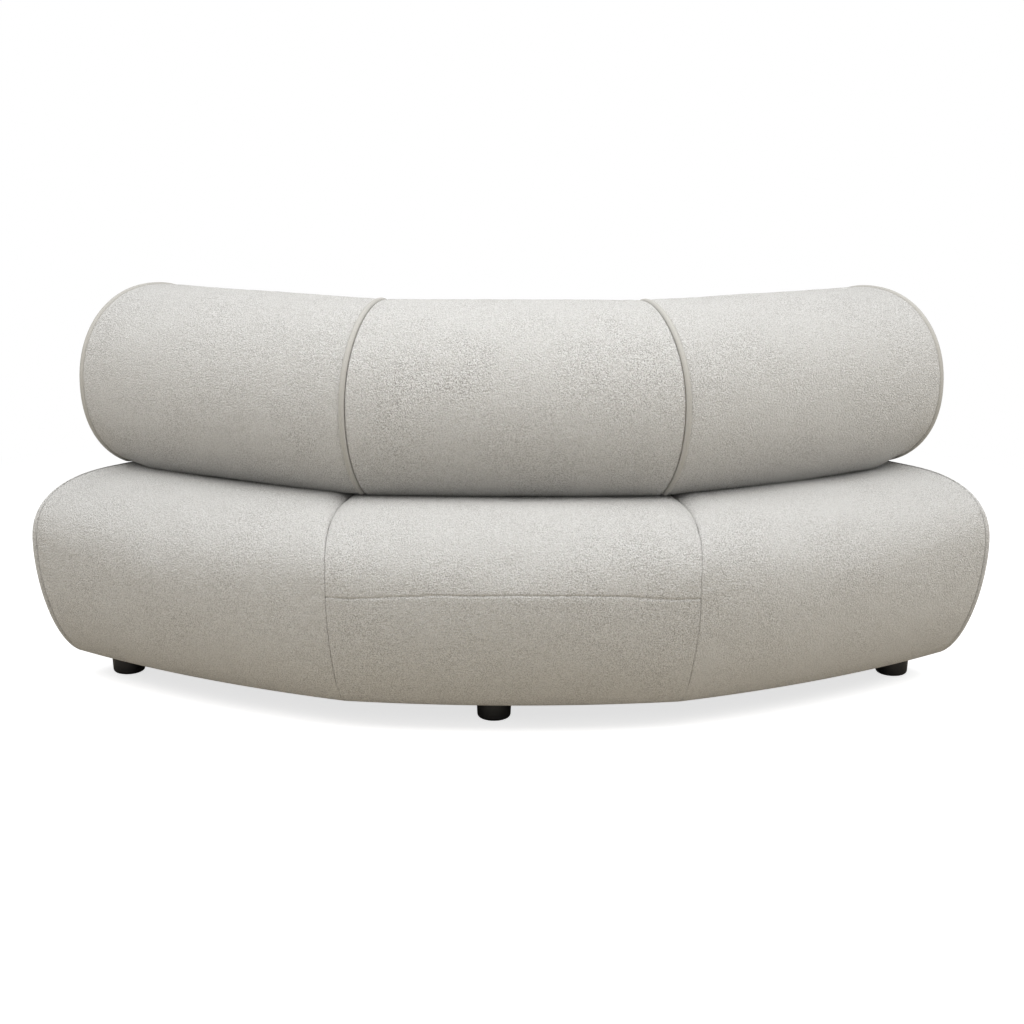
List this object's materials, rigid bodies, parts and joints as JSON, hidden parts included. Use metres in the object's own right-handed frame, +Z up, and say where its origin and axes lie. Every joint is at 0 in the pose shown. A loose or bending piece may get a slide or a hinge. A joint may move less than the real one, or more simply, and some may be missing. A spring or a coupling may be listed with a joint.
{
  "type": "curved sofa",
  "caption": "Curved sofa with mitred, rounded seat sections on low round feet and a piped roll backrest that lifts off hidden posts.",
  "frame": {"origin": "on the floor, under the middle of the sofa's bounding box", "axes": "+Z up, +Y to the convex rear, +X to the sitter's left, along the sofa's width"},
  "size_m": [1.8456, 1.0718, 0.7642],
  "materials": {
    "fabric": "woven boucle",
    "piping": "smooth bias-cut piping",
    "foam": "cut polyurethane foam",
    "plywood": "sanded, unfinished",
    "webbing": "woven elastic",
    "steel": "zinc plated",
    "black_plastic": "moulded, satin",
    "lining": "spunbonded"
  },
  "bodies": {
    "seat_base": {"backrest_post_centre": "steel", "backrest_post_left": "steel", "backrest_post_right": "steel", "base_board": "plywood", "dust_cover": "lining", "foot_front_left": "black_plastic", "foot_front_right": "black_plastic", "foot_rear_centre": "black_plastic", "foot_rear_left": "black_plastic", "foot_rear_right": "black_plastic", "front_rail_centre": "plywood", "front_rail_left": "plywood", "front_rail_right": "plywood", "rear_rail_centre": "plywood", "rear_rail_left": "plywood", "rear_rail_right": "plywood", "seat_cover_centre": "fabric", "seat_cover_left": "fabric", "seat_cover_right": "fabric", "seat_end_panel_left": "fabric", "seat_end_panel_right": "fabric", "seat_foam_centre": "foam", "seat_foam_left": "foam", "seat_foam_right": "foam", "seat_rib_left_end": "plywood", "seat_rib_left_seam": "plywood", "seat_rib_right_end": "plywood", "seat_rib_right_seam": "plywood", "tee_nut_front_left": "steel", "tee_nut_front_right": "steel", "tee_nut_rear_centre": "steel", "tee_nut_rear_left": "steel", "tee_nut_rear_right": "steel", "webbing_centre": "webbing", "webbing_left": "webbing", "webbing_right": "webbing"},
    "backrest": {"back_cover_centre": "fabric", "back_cover_left": "fabric", "back_cover_right": "fabric", "back_end_panel_left": "fabric", "back_end_panel_right": "fabric", "back_foam_centre": "foam", "back_foam_left": "foam", "back_foam_right": "foam", "back_former_left_end": "plywood", "back_former_left_seam": "plywood", "back_former_right_end": "plywood", "back_former_right_seam": "plywood", "back_spine_centre": "plywood", "back_spine_left": "plywood", "back_spine_right": "plywood", "back_welt_left_end": "piping", "back_welt_left_seam": "piping", "back_welt_right_end": "piping", "back_welt_right_seam": "piping", "post_socket_centre": "steel", "post_socket_left": "steel", "post_socket_right": "steel"}
  },
  "joints": [
    {"name": "backrest_lift", "type": "slide", "parent": "seat_base", "child": "backrest", "axis": [0, 0, 1], "range_m": [0, 0.21]}
  ]
}
